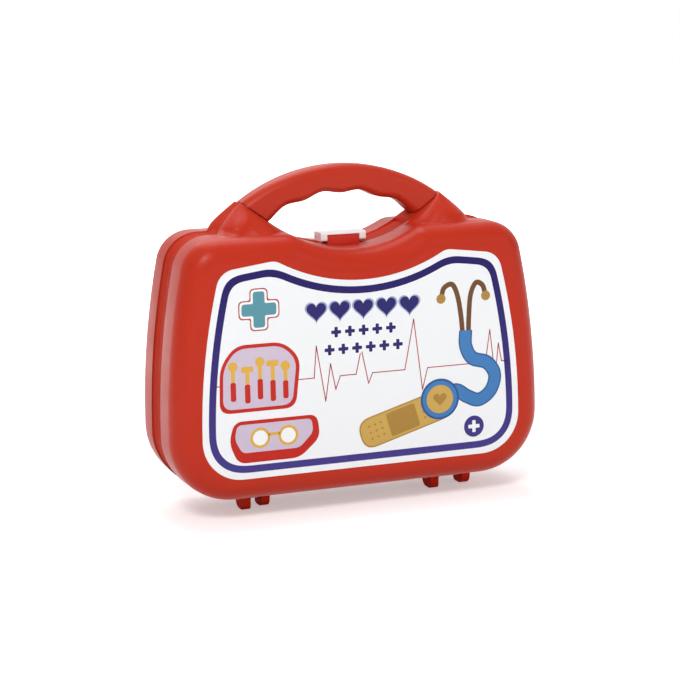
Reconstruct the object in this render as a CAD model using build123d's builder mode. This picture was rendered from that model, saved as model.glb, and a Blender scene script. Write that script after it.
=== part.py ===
from build123d import *
from math import asin, cos, degrees, radians, sin, sqrt, tan
import os

# Toy doctor case: two moulded half shells hinged along the bottom, a separate arched
# handle pegged into the rear shell, a flip latch, and two formed trays of toy tools.
# X runs to the right, Y to the back, Z up. Y = 0 is the seam between the two shells,
# Z = 0 the plane of the hinge feet, X = 0 the middle of the case. Millimetres.

# ---------------------------------------------------------------- shells
half_depth = 45.0            # seam to the outer face of one shell
half_width = 136.3           # middle to the widest point of the side
bottom_z = 14.3              # underside of the shells
top_z = 195.0                # shoulders beside the handle
dip_z = 182.5                # lowest point of the hollow under the handle
dip_radius = 90.0
bottom_corner = 45.0
side_bow = 560.0             # radius of the gently leaning side
top_corner = 25.0
dip_shoulder = 18.0          # rounding where the hollow meets the shoulder
face_round = 16.0            # large rounding between the face and the side
side_wall = 2.8
face_wall = 2.0
seam_gap = 0.3
band_depth = 11.5            # recessed band beside the seam, on each shell
band_step = 1.2
band_stop = 47.0             # the band runs up to the horns, this far from the middle
draft = 1.0                  # mould draft of the side, degrees
rib_width = 1.6
rib_reach = 4.4              # from the wall inwards
rib_length = 26.0
rib_x = 32.0                 # upright ribs, under the hollow and on the bottom
rib_low_z = 78.0             # ribs on the leaning sides
rib_high_z = 140.0

# ---------------------------------------------------------------- handle
handle_radius = 125.5        # outer arc
handle_top = 237.7
handle_half = 10.5           # half thickness along Y
grip_radius = 95.4           # mean radius of the finger grip
grip_centre_z = 123.4
grip_wave = 1.15             # height of a finger bump above the mean
grip_pitch = 27.5            # one finger
grip_steps = 5               # half fingers drawn to each side of the middle
bar_margin = 18.0            # the bar is drawn this far past its mouths, then cut, degrees
handle_round_out = 7.5
handle_round_in = 5.5
mouth_outer_x = 73.5         # the handle enters its horn on a slanted line
mouth_turn = 28.0            # polar angle on the handle, ahead of the mouth, degrees
mouth_inner_x = 54.5
horn_proud = 0.8             # the horn stands this far outside the handle
horn_x = 77.9                # centre of the horn's round shoulder
horn_z = 199.5
horn_radius = 14.2
horn_turn = 77.0             # the round shoulder's sweep, degrees
horn_half = 25.0             # half thickness of the horn along Y
horn_round = 13.0
horn_wall = 2.0
horn_corner = 4.0            # rounding at the mouth's outer end
horn_root = 5.0              # the horn reaches this far below the shoulder
hollow_root = 9.0            # and its hollow opens into the shell
tenon_step = 1.6             # the tenon is this much thinner all round
tenon_clearance = 0.6
tenon_turn = 40.3            # polar angle of the tenon's end, degrees
tenon_width = 14.4
tenon_lap = 4.0              # the tenon starts this far past the mouth, inside the bar, degrees
tenon_round = 4.0
peg_turn = 38.0              # polar angle of the peg through the tenon
peg_radius = 2.6
peg_clearance = 0.3
peg_tip_y = -6.0
peg_root_radius = 4.2

# ---------------------------------------------------------------- hinges
hinge_z = 7.1
lug_width = 6.0
foot_depth = 10.0            # flat foot, from the hinge line outwards
foot_round = 4.0
web_depth = 14.0
pin_radius = 1.3
pin_clearance = 0.05
pin_proud = 0.6
pin_chamfer = 0.3
front_lugs = (-76.0, 66.5)   # middle of each lug
rear_lugs = (-61.0, 92.5)

# ---------------------------------------------------------------- latch
latch_half = 16.6            # half width
latch_leg = 4.7
latch_plate = 1.6
latch_top_z = 190.8
latch_leg_z = 184.7
latch_front_y = -9.2
latch_pin_y = 2.5
latch_pin_z = 187.0
latch_pin_radius = 1.0
latch_heel = 2.3             # radius of the leg's end round the pin
latch_nose = 1.2             # rounding of the front edges
catch_clearance = 0.35
catch_back_y = -0.6
catch_round = 1.0
latch_root = 0.8             # overlap of the eye with the shell's wall
eye_web = 2.4

# ---------------------------------------------------------------- label
label_half = 116.3
label_bottom = 31.8
label_corner = 28.0
label_bow = 430.0
label_shoulder_z = 174.0
label_peak_x = 62.0
label_dip_z = 162.1
label_dip_radius = 122.0
label_top_corner = 14.0
label_kink = 12.0
label_thickness = 0.4

# ---------------------------------------------------------------- trays
tray_sheet = 1.0
tray_gap = 0.4
tray_lip_y = 1.2             # the flange lies this far behind the seam
tray_flange = 5.6
deck_y = 14.0                # rear tray: tools lie half sunk in this deck
basin_y = 28.0               # front tray: one open basin
seat_gap = 0.2               # air under a piece that lies on another
well_gap = 0.8               # room round a tool in its well

# ---------------------------------------------------------------- toy tools
grip_width = 20.0            # red handles of the tools
grip_thick = 13.0
grip_edge = 4.0
grip_dimple = 3.5
grip_dimple_depth = 1.0
probe_length = 104.0
probe_grip = 68.0
probe_radius = 5.5
probe_point = 2.5
probe_place = (-84.0, 112.0, 195.0)      # x, z of the middle, lean in degrees
otoscope_length = 112.0
otoscope_grip = 54.0
otoscope_mouth = 34.0
funnel_depth = 10.5
funnel_wall = 1.4
funnel_floor = 7.0           # solid up to here above the neck
neck_radius = 5.0
otoscope_place = (-41.0, 104.0, 5.0)
tweezers_length = 98.0
tweezers_width = 13.0
tweezers_arm = 3.2
tweezers_thick = 8.0
tweezers_place = (-10.0, 106.0, 4.0)
hammer_length = 116.0
hammer_grip = 54.0
hammer_head_width = 44.0
hammer_head_height = 24.0
hammer_round = 2.5
hammer_place = (23.0, 106.0, -1.0)
syringe_radius = 8.5
syringe_wall = 1.4
syringe_barrel = 66.0
syringe_tip = 16.0
flange_width = 44.0
flange_thick = 3.5
nozzle_radius = 2.2
plunger_radius = 6.8
piston_height = 5.0
piston_rest = 8.8            # the piston stands this far above the barrel's foot
rod_radius = 3.0
thumb_radius = 8.0
thumb_height = 3.0
plunger_top = 26.0           # thumb end above the flange
plunger_travel = 18.0
syringe_place = (66.0, 96.0, -4.0)
box_width = 21.0
box_height = 50.0
box_thick = 14.0
box_round = 1.5
box_place = (100.0, 92.0, -7.0)
jar_y = 18.0
jar_radius = 14.0
jar_shoulder = 2.0
jar_height = 34.0
cap_radius = 15.0
cap_height = 15.0
cap_flutes = 18
flute_radius = 1.2
jar_place = (-95.0, 57.0, 26.0)
eye_x = 30.0
eye_width = 44.0
eye_height = 27.0
eye_round = 12.0
glasses_rim = 7.0
glasses_thick = 3.0
glasses_z = 60.0
scissors_ring = 14.0         # radius of a finger ring
scissors_hole = 9.0
blade_thick = 3.0
blade_width = 11.0
blade_length = 50.0
ring_x = 16.0                # a finger ring beside and below the rivet
ring_drop = 42.0
rivet_head = 4.6
rivet_cap = 1.2
rivet_radius = 2.6
scissors_place = (-8.0, 140.0, 90.0)

os.makedirs("parts", exist_ok=True)

front, rear = 1, -1          # the shells' own directions along -Y
handle_centre_z = handle_top - handle_radius
corner_z = bottom_z + bottom_corner
dip_centre_z = dip_z + dip_radius
band_floor_z = bottom_z + band_step
face_y = {front: half_depth - label_thickness, rear: half_depth}


def across(y):
    """The upright plane at a given Y, with X to the right and Z up."""
    return Plane.XZ.offset(-y)


def polar(radius, turn, centre_z=handle_centre_z):
    """A point of the XZ plane on a circle about the handle's centre, from straight up."""
    return (radius * sin(radians(turn)), centre_z + radius * cos(radians(turn)))


def case_face(y, inset=0.0):
    """The outline of the case on the upright plane at y, all its arcs shrunk by inset."""
    side_sweep = degrees(asin((top_z - inset - corner_z) / (side_bow - inset)))
    dip_half = sqrt((dip_radius + inset)**2 - (dip_centre_z - top_z + inset)**2)
    dip_sweep = degrees(asin(dip_half / (dip_radius + inset)))
    with BuildSketch(across(y)) as face:
        with BuildLine():
            Line((0, bottom_z + inset), (half_width - bottom_corner, bottom_z + inset))
            CenterArc((half_width - bottom_corner, corner_z), bottom_corner - inset, -90, 90)
            side = CenterArc((half_width - side_bow, corner_z), side_bow - inset, 0, side_sweep)
            dip = CenterArc((0, dip_centre_z), dip_radius + inset, -90, dip_sweep)
            Line(side @ 1, dip @ 1)
            mirror(about=Plane.YZ)
        make_face()
        shoulders = face.vertices().group_by(Axis.Y)[-1].sort_by(Axis.X)
        fillet([shoulders[0], shoulders[-1]], top_corner - inset)
        shoulders = face.vertices().group_by(Axis.Y)[-1].sort_by(Axis.X)
        fillet([shoulders[1], shoulders[2]], dip_shoulder - inset)
    return face.sketch


def drafted(side, depth, inset=0.0):
    """A block with the case's outline that narrows by the draft away from the seam."""
    seam_y = -side * seam_gap / 2
    narrowing = depth * tan(radians(draft))
    far_y = seam_y - side * depth
    loft([case_face(seam_y, inset), case_face(far_y, inset + narrowing)], ruled=True)


def label_face(y):
    """The label's outline, which follows the case's just inside its rounding."""
    side_z = label_bottom + label_corner
    side_sweep = degrees(asin((label_shoulder_z - side_z) / label_bow))
    dip_sweep = degrees(asin(label_peak_x / label_dip_radius))
    with BuildSketch(across(y)) as face:
        with BuildLine():
            Line((0, label_bottom), (label_half - label_corner, label_bottom))
            CenterArc((label_half - label_corner, side_z), label_corner, -90, 90)
            side = CenterArc((label_half - label_bow, side_z), label_bow, 0, side_sweep)
            dip = CenterArc((0, label_dip_z + label_dip_radius), label_dip_radius, -90, dip_sweep)
            Line(side @ 1, dip @ 1)
            mirror(about=Plane.YZ)
        make_face()
        tops = face.vertices().sort_by(Axis.Y)[-4:].sort_by(Axis.X)
        fillet([tops[0], tops[-1]], label_top_corner)
        tops = face.vertices().sort_by(Axis.Y)[-2:]
        fillet(tops, label_kink)
    return face.sketch


def dip_height(x):
    """Height of the hollow's arc, carried on up into the horn."""
    return dip_centre_z - sqrt(dip_radius**2 - x**2)


def handle_height(x, grow=0.0):
    """Height of the handle's outer arc, grown by a little."""
    return handle_centre_z + sqrt((handle_radius + grow)**2 - x**2)


mouth_outer = (mouth_outer_x, handle_height(mouth_outer_x, horn_proud))
mouth_inner = (mouth_inner_x, dip_height(mouth_inner_x))


def horn(side, inset=0.0):
    """The two humps of one shell that hold the handle's ends, or their hollows."""
    base = top_z - (hollow_root if inset else horn_root)
    foot_x = sqrt(dip_radius**2 - (dip_centre_z - base)**2)
    middle = (foot_x + mouth_inner_x) / 2
    with BuildPart() as humps:
        with BuildSketch(across(-side * seam_gap / 2)) as face:
            with BuildLine():
                edge = CenterArc((horn_x, horn_z), horn_radius, 0, horn_turn)
                Polyline(edge @ 1, mouth_outer, mouth_inner)
                ThreePointArc(mouth_inner, (middle, dip_height(middle)), (foot_x, base))
                Polyline((foot_x, base), (horn_x + horn_radius, base), edge @ 0)
            make_face()
            fillet(face.vertices().sort_by(Axis.Y)[-1], horn_corner)
            if inset:
                offset(amount=-inset)
        extrude(amount=side * (horn_half - seam_gap / 2 - inset))
        outer = humps.faces().filter_by(Axis.Y).sort_by(Axis.Y)[0 if side == front else -1]
        fillet(outer.edges().sort_by(Axis.Z)[1:], horn_round - inset)
        mirror(about=Plane.YZ)
    return humps.part


def handle_band(grow, thick, first, last):
    """A piece of the arched bar at each end, between two polar angles, grown all round."""
    outer = handle_radius - tenon_step + grow
    inner = handle_radius - tenon_step - tenon_width - grow
    with BuildPart() as ends:
        with BuildSketch(Plane.XZ) as face:
            with BuildLine():
                top = CenterArc((0, handle_centre_z), outer, 90 - first, first - last)
                low = CenterArc((0, handle_centre_z), inner, 90 - first, first - last)
                Line(top @ 0, low @ 0)
                Line(top @ 1, low @ 1)
            make_face()
            mirror(about=Plane.YZ)
        extrude(amount=thick + grow, both=True)
        fillet(ends.faces().filter_by(Axis.Y).edges(), tenon_round)
    return ends.part


def hinge_lugs(side, places):
    """Lugs of one shell: a round eye, its flat foot and the web up to the shell."""
    out = -side
    with BuildPart() as lugs:
        for x in places:
            with BuildSketch(Plane.YZ.offset(x - lug_width / 2)) as face:
                with BuildLine():
                    heel = CenterArc((0, hinge_z), hinge_z, -90, out * -180)
                    Polyline(
                        heel @ 1,
                        (out * seam_gap, 2 * hinge_z),
                        (out * seam_gap, band_floor_z + side_wall / 4),
                        (out * web_depth, band_floor_z + side_wall / 4),
                        (out * foot_depth, hinge_z),
                        (out * foot_depth, 0),
                        heel @ 0,
                    )
                make_face()
                toe = face.vertices().group_by(Axis.Y)[0].sort_by(Axis.X)
                fillet(toe[-1] if out > 0 else toe[0], foot_round)
            extrude(amount=lug_width)
            with Locations(Plane.YZ.offset(x + lug_width / 2)):
                with Locations((0, hinge_z)):
                    Hole(pin_radius + pin_clearance, lug_width)
    return lugs.part


def shell(side, lugs, horns, hollows):
    """One half shell: a drafted tub with a rounded face, ribs, horns and hinge lugs."""
    seam_y = -side * seam_gap / 2
    with BuildPart() as half:
        drafted(side, face_y[side] - seam_gap / 2)
        rim = half.faces().filter_by(Axis.Y).sort_by(Axis.Y)[0 if side == front else -1]
        fillet(rim.edges(), face_round)
        add(horns)
        # the recessed band beside the seam leaves the horns alone
        with BuildSketch(across(seam_y)) as band:
            add(case_face(seam_y, -band_depth))
            add(case_face(seam_y, band_step), mode=Mode.SUBTRACT)
            horn_middle = (band_stop + horn_x + horn_radius) / 2
            with Locations((horn_middle, top_z), (-horn_middle, top_z)):
                Rectangle(horn_x + horn_radius - band_stop, 4 * band_depth, mode=Mode.SUBTRACT)
        extrude(band.sketch, amount=side * (band_depth - seam_gap / 2), mode=Mode.SUBTRACT)
        add(hollows, mode=Mode.SUBTRACT)
    with BuildPart() as inside:
        drafted(side, face_y[side] - face_wall - seam_gap / 2, side_wall)
        rim = inside.faces().filter_by(Axis.Y).sort_by(Axis.Y)[0 if side == front else -1]
        fillet(rim.edges(), face_round - side_wall)
        # ribs on the wall carry the tray
        rib_y = tray_lip_y + tray_sheet + seat_gap
        with BuildSketch(across(-side * rib_y)) as ribs:
            with Locations((0, rib_low_z), (0, rib_high_z)):
                Rectangle(2 * half_width, rib_width)
            with Locations((-rib_x, corner_z), (rib_x, corner_z)):
                Rectangle(rib_width, 4 * half_width)
            add(case_face(-side * rib_y, side_wall + rib_reach), mode=Mode.SUBTRACT)
        extrude(ribs.sketch, amount=side * rib_length, mode=Mode.SUBTRACT)
    return half.part - inside.part + lugs


def tool_frame(side, place, y):
    """A plane on a tool: local Y runs up the tool, local Z towards the seam."""
    x, z, lean = place
    turn = radians(lean)
    return Plane(
        origin=(x, -side * y, z),
        x_dir=(-side * cos(turn), 0, -side * sin(turn)),
        z_dir=(0, side, 0),
    )


def ring_plane(frame, height):
    """The plane across a tool at some height, for profiles that run up the tool."""
    return Plane(origin=frame.from_local_coords((0, height, 0)), x_dir=frame.x_dir, z_dir=frame.y_dir)


def tool_axis(frame):
    """The line up the middle of a tool."""
    return Axis(frame.origin, frame.y_dir)


def bar(width, foot, top):
    """On the open sketch: a bar that is round at the foot and square at the top."""
    with Locations((0, (foot + width / 2 + top) / 2)):
        Rectangle(width, top - foot - width / 2)
    with Locations((0, foot + width / 2)):
        Circle(width / 2)


def grip(frame, foot, top):
    """The red moulded grip that several of the tools share."""
    with BuildPart() as body:
        with BuildSketch(frame.offset(-grip_thick / 2)):
            bar(grip_width, foot, top)
        extrude(amount=grip_thick)
        fillet(body.faces().filter_by(Axis.Y).edges(), grip_edge)
        # a dimple near the round end
        with BuildSketch(frame.offset(grip_thick / 2)):
            with Locations((0, foot + grip_width / 2)):
                Circle(grip_dimple)
        extrude(amount=-grip_dimple_depth, mode=Mode.SUBTRACT)
    return body.part


def well_face(frame, draw, grow):
    """A well's outline in the plane of the deck: the tool's, grown by some room."""
    with BuildSketch(frame) as face:
        draw()
        offset(amount=grow)
    return face.sketch


def tray(side, floor_y, wells):
    """A formed sheet: a flange behind the rim, a basin and the wells in its floor."""
    outer = side_wall + tray_gap
    lip_y = -side * tray_lip_y
    depth = floor_y - tray_lip_y
    away = (0, -side, 0)
    with BuildPart() as sheet:
        extrude(case_face(lip_y, outer), amount=side * tray_sheet)
        extrude(case_face(lip_y, outer + tray_flange - tray_sheet), amount=side * (depth + tray_sheet))
        for frame, draw, deep in wells:
            extrude(well_face(frame, draw, well_gap + tray_sheet), amount=deep + tray_sheet, dir=away)
        extrude(case_face(lip_y, outer + tray_flange), amount=side * depth, mode=Mode.SUBTRACT)
        for frame, draw, deep in wells:
            extrude(well_face(frame, draw, well_gap), amount=deep, dir=away, mode=Mode.SUBTRACT)
    return sheet.part


# ================================================================ the two shells
mouth_hole = handle_band(tenon_clearance, handle_half - tenon_step, mouth_turn, tenon_turn)
catch_half = latch_half - latch_leg - catch_clearance
catch_z = latch_top_z - latch_plate - catch_clearance
catch_seat_z = dip_z - band_step
catch_at = ((latch_front_y + catch_back_y) / 2, (catch_seat_z + catch_z) / 2)
catch_size = (catch_back_y - latch_front_y, catch_z - catch_seat_z)
root_z = dip_z - side_wall + latch_root

with BuildPart() as front_shell:
    add(shell(front, hinge_lugs(front, front_lugs), horn(front), horn(front, horn_wall)))
    add(mouth_hole, mode=Mode.SUBTRACT)
    # a flat seat for the catch in the recessed band
    with BuildSketch(Plane.YZ.offset(-catch_half)):
        with Locations(catch_at):
            Rectangle(*catch_size)
    extrude(amount=2 * catch_half, mode=Mode.SUBTRACT)
front_shell.part.label = "front_shell"
export_step(front_shell.part, "parts/front_shell.step")

# the catch stands between the legs of the latch
with BuildPart() as latch_catch:
    with BuildSketch(Plane.YZ.offset(-catch_half)) as catch_side:
        with Locations(catch_at):
            Rectangle(*catch_size)
        fillet(catch_side.vertices().group_by(Axis.Y)[-1], catch_round)
    extrude(amount=2 * catch_half)
latch_catch.part.label = "latch_catch"
export_step(latch_catch.part, "parts/latch_catch.step")

peg_at = polar(handle_radius - tenon_step - tenon_width / 2, peg_turn)
with BuildPart() as pegs:
    # a collar on the back wall of each horn, and the peg that passes through the tenon
    collar_y = handle_half - tenon_step + peg_clearance
    with BuildSketch(across(collar_y)):
        with Locations(peg_at):
            Circle(peg_root_radius)
        mirror(about=Plane.YZ)
    extrude(amount=collar_y - horn_half)
    add(horn(rear), mode=Mode.INTERSECT)
    with BuildSketch(across(peg_tip_y)):
        with Locations(peg_at):
            Circle(peg_radius)
        mirror(about=Plane.YZ)
    extrude(amount=peg_tip_y - collar_y - horn_wall)

with BuildPart() as rear_shell:
    add(shell(rear, hinge_lugs(rear, rear_lugs), horn(rear), horn(rear, horn_wall)))
    add(mouth_hole, mode=Mode.SUBTRACT)
    add(pegs.part)
    # the eye that the latch turns on
    eye_radius = latch_top_z - latch_plate - latch_pin_z - catch_clearance
    with BuildSketch(Plane.YZ.offset(-catch_half)):
        with Locations((latch_pin_y, latch_pin_z)):
            Circle(eye_radius)
        with Locations((latch_pin_y - eye_radius + eye_web / 2, (root_z + latch_pin_z) / 2)):
            Rectangle(eye_web, latch_pin_z - root_z)
        with Locations((latch_pin_y, latch_pin_z)):
            Circle(latch_pin_radius + pin_clearance, mode=Mode.SUBTRACT)
    extrude(amount=2 * catch_half)
rear_shell.part.label = "rear_shell"
export_step(rear_shell.part, "parts/rear_shell.step")

# ================================================================ hinge pins
for name, lug_pair in (("left", (front_lugs[0], rear_lugs[0])), ("right", (front_lugs[1], rear_lugs[1]))):
    reach = lug_width / 2 + pin_proud
    with BuildPart() as hinge_pin:
        with BuildSketch(Plane.YZ.offset(min(lug_pair) - reach)):
            with Locations((0, hinge_z)):
                Circle(pin_radius)
        extrude(amount=max(lug_pair) - min(lug_pair) + 2 * reach)
        chamfer(hinge_pin.faces().filter_by(Axis.X).edges(), pin_chamfer)
    hinge_pin.part.label = "hinge_pin_" + name
    export_step(hinge_pin.part, "parts/hinge_pin_" + name + ".step")

# ================================================================ handle
mouth_line = Vector(*mouth_outer) - Vector(*mouth_inner)
along = mouth_line.normalized()
into = Vector(along.Y, -along.X)
with BuildPart() as handle:
    with BuildSketch(Plane.XZ) as bow:
        with BuildLine():
            sweep = mouth_turn + bar_margin
            top = CenterArc((0, handle_centre_z), handle_radius, 90 - sweep, 2 * sweep)
            # the finger grip: bumps and hollows half a finger apart
            fingers = [
                polar(grip_radius - grip_wave * (-1)**step, step * degrees(grip_pitch / 2 / grip_radius),
                      grip_centre_z)
                for step in range(grip_steps, -grip_steps - 1, -1)
            ]
            low = Spline(*fingers)
            Line(top @ 0, low @ 0)
            Line(top @ 1, low @ 1)
        make_face()
        # both ends stop just short of the mouths of the horns
        start = Vector(*mouth_inner) - along * handle_half - into * tenon_clearance
        stop = Vector(*mouth_outer) + along * handle_half - into * tenon_clearance
        with BuildLine():
            Polyline(start, stop, stop + into * horn_half * 2, start + into * horn_half * 2, close=True)
        make_face(mode=Mode.SUBTRACT)
        with BuildLine():
            back = [Vector(-p.X, p.Y) for p in (start, stop, stop + into * horn_half * 2,
                                                start + into * horn_half * 2)]
            Polyline(*back, close=True)
        make_face(mode=Mode.SUBTRACT)
    extrude(amount=handle_half, both=True)
    flat = handle.faces().filter_by(Axis.Y)
    fillet([face.edges().sort_by(SortBy.LENGTH)[-1] for face in flat], handle_round_out)
    flat = handle.faces().filter_by(Axis.Y)
    fillet([face.edges().sort_by(SortBy.LENGTH)[-2] for face in flat], handle_round_in)
    add(handle_band(0, handle_half - tenon_step, mouth_turn + tenon_lap, tenon_turn))
    with BuildSketch(across(-handle_half)):
        with Locations(peg_at):
            Circle(peg_radius + peg_clearance)
        mirror(about=Plane.YZ)
    extrude(amount=-2 * handle_half, mode=Mode.SUBTRACT)
handle.part.label = "handle"
export_step(handle.part, "parts/handle.step")

# ================================================================ latch
with BuildPart() as latch:
    with BuildSketch(Plane.YZ.offset(-latch_half)) as leg_side:
        with BuildLine():
            Polyline(
                (latch_pin_y, latch_leg_z),
                (latch_front_y, latch_leg_z),
                (latch_front_y, latch_top_z),
                (latch_pin_y + latch_heel, latch_top_z),
                (latch_pin_y + latch_heel, latch_pin_z),
            )
            CenterArc((latch_pin_y, latch_pin_z), latch_heel, 0, -90)
        make_face()
        fillet(leg_side.vertices().group_by(Axis.X)[0], latch_nose)
    extrude(amount=2 * latch_half)
    # the channel under the plate takes the catch and the eye
    with BuildSketch(Plane.YZ.offset(latch_leg - latch_half)):
        with Locations((0, latch_top_z - latch_plate)):
            Rectangle(2 * web_depth, web_depth, align=(Align.CENTER, Align.MAX))
    extrude(amount=2 * (latch_half - latch_leg), mode=Mode.SUBTRACT)
    with BuildSketch(Plane.YZ.offset(-latch_half)):
        with Locations((latch_pin_y, latch_pin_z)):
            Circle(latch_pin_radius + pin_clearance)
    extrude(amount=2 * latch_half, mode=Mode.SUBTRACT)
latch.part.label = "latch"
export_step(latch.part, "parts/latch.step")

with BuildPart() as latch_pin:
    with BuildSketch(Plane.YZ.offset(-latch_half)):
        with Locations((latch_pin_y, latch_pin_z)):
            Circle(latch_pin_radius)
    extrude(amount=2 * latch_half)
    chamfer(latch_pin.faces().filter_by(Axis.X).edges(), pin_chamfer)
latch_pin.part.label = "latch_pin"
export_step(latch_pin.part, "parts/latch_pin.step")

# ================================================================ label
with BuildPart() as label:
    extrude(label_face(-face_y[front]), amount=label_thickness)
label.part.label = "label"
export_step(label.part, "parts/label.step")


# ================================================================ probe
probe_frame = tool_frame(rear, probe_place, deck_y)
probe_foot = -probe_length / 2
probe_neck = probe_foot + probe_grip


def probe_outline():
    """The probe seen from the seam."""
    bar(grip_width, probe_foot, probe_neck)
    with Locations((0, (probe_neck - probe_foot) / 2)):
        Rectangle(2 * probe_radius, probe_length - probe_neck + probe_foot)


with BuildPart() as probe_handle:
    add(grip(probe_frame, probe_foot, probe_neck))
probe_handle.part.label = "probe_handle"
export_step(probe_handle.part, "parts/probe_handle.step")

with BuildPart() as probe_tip:
    with BuildSketch(probe_frame) as half_tip:
        with BuildLine():
            Polyline(
                (0, probe_neck),
                (probe_radius, probe_neck),
                (probe_radius, probe_neck + probe_radius),
                (probe_point, -probe_foot - probe_point),
                (0, -probe_foot),
                (0, probe_neck),
            )
        make_face()
    revolve(axis=tool_axis(probe_frame))
probe_tip.part.label = "probe_tip"
export_step(probe_tip.part, "parts/probe_tip.step")

# ================================================================ otoscope
otoscope_frame = tool_frame(rear, otoscope_place, deck_y)
otoscope_foot = -otoscope_length / 2
otoscope_neck = otoscope_foot + otoscope_grip


def otoscope_outline():
    """The otoscope seen from the seam."""
    bar(grip_width, otoscope_foot, otoscope_neck)
    Polygon(
        (-neck_radius, otoscope_neck),
        (neck_radius, otoscope_neck),
        (otoscope_mouth / 2, -otoscope_foot),
        (-otoscope_mouth / 2, -otoscope_foot),
        align=None,
    )


with BuildPart() as otoscope_handle:
    add(grip(otoscope_frame, otoscope_foot, otoscope_neck))
otoscope_handle.part.label = "otoscope_handle"
export_step(otoscope_handle.part, "parts/otoscope_handle.step")

with BuildPart() as otoscope_funnel:
    for wall, floor, mode in ((0, 0, Mode.ADD), (funnel_wall, funnel_floor, Mode.SUBTRACT)):
        with BuildSketch(ring_plane(otoscope_frame, otoscope_neck + floor)):
            Circle(neck_radius - wall)
        with BuildSketch(ring_plane(otoscope_frame, -otoscope_foot)):
            Ellipse(otoscope_mouth / 2 - wall, funnel_depth - wall)
        loft(mode=mode)
otoscope_funnel.part.label = "otoscope_funnel"
export_step(otoscope_funnel.part, "parts/otoscope_funnel.step")

# ================================================================ tweezers
tweezers_frame = tool_frame(rear, tweezers_place, deck_y)


def tweezers_outline():
    """The tweezers seen from the seam: joined at the top, open at the foot."""
    SlotOverall(tweezers_length, tweezers_width, rotation=90)


with BuildPart() as tweezers:
    with BuildSketch(tweezers_frame.offset(-tweezers_thick / 2)) as blades:
        tweezers_outline()
        gap = tweezers_width - 2 * tweezers_arm
        with Locations((0, -gap)):
            SlotOverall(tweezers_length - gap, gap, rotation=90, mode=Mode.SUBTRACT)
        with Locations((0, -tweezers_length / 2)):
            Rectangle(gap, 2 * tweezers_width, mode=Mode.SUBTRACT)
    extrude(amount=tweezers_thick)
tweezers.part.label = "tweezers"
export_step(tweezers.part, "parts/tweezers.step")

# ================================================================ reflex hammer
hammer_frame = tool_frame(rear, hammer_place, deck_y)
hammer_foot = -hammer_length / 2
hammer_neck = hammer_foot + hammer_grip
hammer_base = -hammer_foot - hammer_head_height


def hammer_head_outline():
    """The wedge of the hammer's head."""
    Polygon(
        (-grip_width / 2, hammer_base),
        (grip_width / 2, hammer_base),
        (hammer_head_width / 2, -hammer_foot),
        (-hammer_head_width / 2, -hammer_foot),
        align=None,
    )


def hammer_outline():
    """The hammer seen from the seam."""
    bar(grip_width, hammer_foot, hammer_neck)
    with Locations((0, (hammer_neck + hammer_base) / 2)):
        Rectangle(2 * neck_radius, hammer_base - hammer_neck + 2 * well_gap)
    hammer_head_outline()


with BuildPart() as hammer_handle:
    add(grip(hammer_frame, hammer_foot, hammer_neck))
hammer_handle.part.label = "hammer_handle"
export_step(hammer_handle.part, "parts/hammer_handle.step")

with BuildPart() as hammer_head:
    with BuildSketch(hammer_frame.offset(-grip_thick / 2)):
        hammer_head_outline()
    extrude(amount=grip_thick)
    fillet(hammer_head.faces().filter_by(Axis.Y).edges(), hammer_round)
    with BuildSketch(ring_plane(hammer_frame, hammer_neck)):
        Circle(neck_radius)
    extrude(amount=hammer_length - hammer_grip - hammer_head_height / 2)
hammer_head.part.label = "hammer_head"
export_step(hammer_head.part, "parts/hammer_head.step")

# ================================================================ syringe
syringe_frame = tool_frame(rear, syringe_place, deck_y)
barrel_top = syringe_barrel / 2
bore_radius = syringe_radius - syringe_wall


def syringe_outline():
    """The syringe seen from the seam, with the path of its plunger."""
    with Locations((0, -syringe_tip / 2)):
        Rectangle(2 * syringe_radius, syringe_barrel + syringe_tip)
    with Locations((0, barrel_top - flange_thick / 2)):
        Rectangle(flange_width, flange_thick)
    with Locations((0, barrel_top + (plunger_top + plunger_travel) / 2)):
        Rectangle(2 * thumb_radius, plunger_top + plunger_travel)


with BuildPart() as syringe_barrel_part:
    with BuildSketch(syringe_frame):
        with BuildLine():
            Polyline(
                (0, -barrel_top - syringe_tip),
                (nozzle_radius, -barrel_top - syringe_tip),
                (nozzle_radius * 2, -barrel_top - nozzle_radius),
                (syringe_radius, -barrel_top + nozzle_radius),
                (syringe_radius, barrel_top),
                (bore_radius, barrel_top),
                (bore_radius, -barrel_top + nozzle_radius),
                (0, -barrel_top + nozzle_radius),
                close=True,
            )
        make_face()
    revolve(axis=tool_axis(syringe_frame))
    with BuildSketch(ring_plane(syringe_frame, barrel_top - flange_thick)):
        SlotOverall(flange_width, 2 * syringe_radius)
        Circle(bore_radius, mode=Mode.SUBTRACT)
    extrude(amount=flange_thick)
syringe_barrel_part.part.label = "syringe_barrel"
export_step(syringe_barrel_part.part, "parts/syringe_barrel.step")

with BuildPart() as syringe_plunger:
    piston = -barrel_top + piston_rest
    with BuildSketch(syringe_frame):
        with BuildLine():
            Polyline(
                (0, piston),
                (plunger_radius, piston),
                (plunger_radius, piston + piston_height),
                (rod_radius, piston + piston_height),
                (rod_radius, barrel_top + plunger_top - thumb_height),
                (thumb_radius, barrel_top + plunger_top - thumb_height),
                (thumb_radius, barrel_top + plunger_top),
                (0, barrel_top + plunger_top),
                close=True,
            )
        make_face()
    revolve(axis=tool_axis(syringe_frame))
syringe_plunger.part.label = "syringe_plunger"
export_step(syringe_plunger.part, "parts/syringe_plunger.step")

# ================================================================ plaster box
box_frame = tool_frame(rear, box_place, deck_y)


def box_outline():
    """The plaster box seen from the seam."""
    Rectangle(box_width, box_height)


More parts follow.
